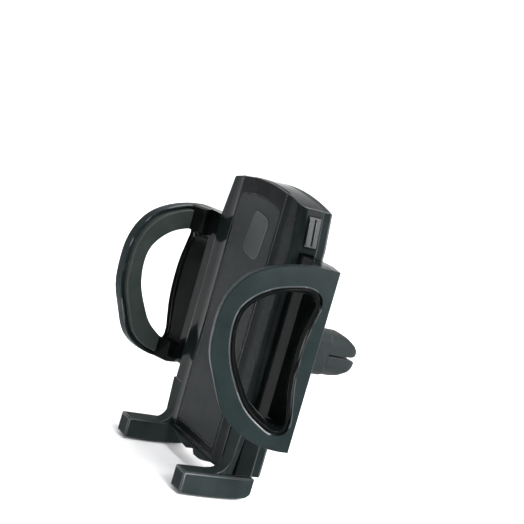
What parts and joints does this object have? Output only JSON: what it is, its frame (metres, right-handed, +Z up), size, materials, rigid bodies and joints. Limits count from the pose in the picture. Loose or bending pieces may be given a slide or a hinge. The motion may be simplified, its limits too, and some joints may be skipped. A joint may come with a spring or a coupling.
{
  "type": "car vent phone holder",
  "caption": "Clip-on car vent holder for a phone: cradle with ring arms that close together, a foot bracket, a ball joint with collar nut and a sprung louvre clip.",
  "frame": {"origin": "middle of the gap between the two prongs of the vent clip, where the louvre blade sits", "axes": "+X to the holder's right as seen by the user, +Y backwards into the vent, +Z up along the cradle"},
  "size_m": [0.1022, 0.0775, 0.1014],
  "materials": {
    "charcoal": "matte",
    "gloss_black": "polished",
    "rear_black": "satin",
    "panel_soft": "matte",
    "badge": "satin",
    "pad_rubber": "matte",
    "steel": "brushed",
    "nylon": "matte",
    "sleeve_rubber": "matte"
  },
  "bodies": {
    "vent_clip": {"clip_base": "rear_black"},
    "upper_prong": {"prong_upper": "rear_black", "sleeve_upper": "sleeve_rubber"},
    "lower_prong": {"prong_lower": "rear_black", "sleeve_lower": "sleeve_rubber"},
    "stud": {"ball_stud": "rear_black", "stud_screw": "steel"},
    "seat": {"ball_seat": "nylon"},
    "cradle": {"front_shell": "gloss_black", "rear_shell": "rear_black", "front_cover": "gloss_black", "front_panel": "panel_soft", "badge_plate": "badge", "shell_screws": "steel", "pinion_spring": "steel", "pawl_spring": "steel"},
    "collar": {"collar_nut": "rear_black"},
    "right_arm": {"arm_right": "charcoal", "pad_right": "pad_rubber"},
    "left_arm": {"arm_left": "charcoal", "pad_left": "pad_rubber"},
    "gear": {"pinion": "nylon"},
    "button": {"release_button": "gloss_black"},
    "catch": {"pawl": "nylon"},
    "feet": {"foot_bracket": "charcoal"}
  },
  "joints": [
    {"name": "upper_prong_open", "type": "hinge", "parent": "vent_clip", "child": "upper_prong", "pos_m": [0, -0.0094, 0.0046], "axis": [1, 0, 0], "range_deg": [0, 5], "stiffness_Nm_per_rad": 0.5},
    {"name": "lower_prong_open", "type": "hinge", "parent": "vent_clip", "child": "lower_prong", "pos_m": [0, -0.0094, -0.0046], "axis": [-1, 0, 0], "range_deg": [0, 5], "stiffness_Nm_per_rad": 0.5},
    {"name": "ball_roll", "type": "hinge", "parent": "vent_clip", "child": "stud", "pos_m": [0, -0.0236, 0], "axis": [0, 1, 0], "continuous": true},
    {"name": "ball_yaw", "type": "hinge", "parent": "stud", "child": "seat", "pos_m": [0, -0.0236, 0], "axis": [0, 0, 1], "range_deg": [-15, 15]},
    {"name": "ball_tilt", "type": "hinge", "parent": "seat", "child": "cradle", "pos_m": [0, -0.0236, 0], "axis": [1, 0, 0], "range_deg": [-15, 15]},
    {"name": "collar_turn", "type": "hinge", "parent": "cradle", "child": "collar", "pos_m": [0, -0.0236, 0], "axis": [0, 1, 0], "range_deg": [-270, 0]},
    {"name": "arm_right_slide", "type": "slide", "parent": "cradle", "child": "right_arm", "axis": [1, 0, 0], "range_m": [-0.0105, 0.003]},
    {"name": "arm_left_slide", "type": "slide", "parent": "cradle", "child": "left_arm", "axis": [-1, 0, 0], "range_m": [-0.0105, 0.003]},
    {"name": "pinion_turn", "type": "hinge", "parent": "cradle", "child": "gear", "pos_m": [0, -0.039, 0.0074], "axis": [0, 1, 0], "range_deg": [-113, 33]},
    {"name": "button_press", "type": "slide", "parent": "cradle", "child": "button", "axis": [-1, 0, 0], "range_m": [0, 0.001], "stiffness_N_per_m": 400},
    {"name": "pawl_lift", "type": "hinge", "parent": "cradle", "child": "catch", "pos_m": [0.006, -0.039, 0.0393], "axis": [0, 1, 0], "range_deg": [-17, 0]},
    {"name": "foot_slide", "type": "slide", "parent": "cradle", "child": "feet", "axis": [0, 0, -1], "range_m": [0, 0.01]}
  ],
  "couplings": [
    {"joint": "arm_left_slide", "follows": "arm_right_slide", "ratio": 1},
    {"joint": "pinion_turn", "follows": "arm_right_slide", "rad_per_m": 185.19},
    {"joint": "pawl_lift", "follows": "button_press", "rad_per_m": -290}
  ]
}
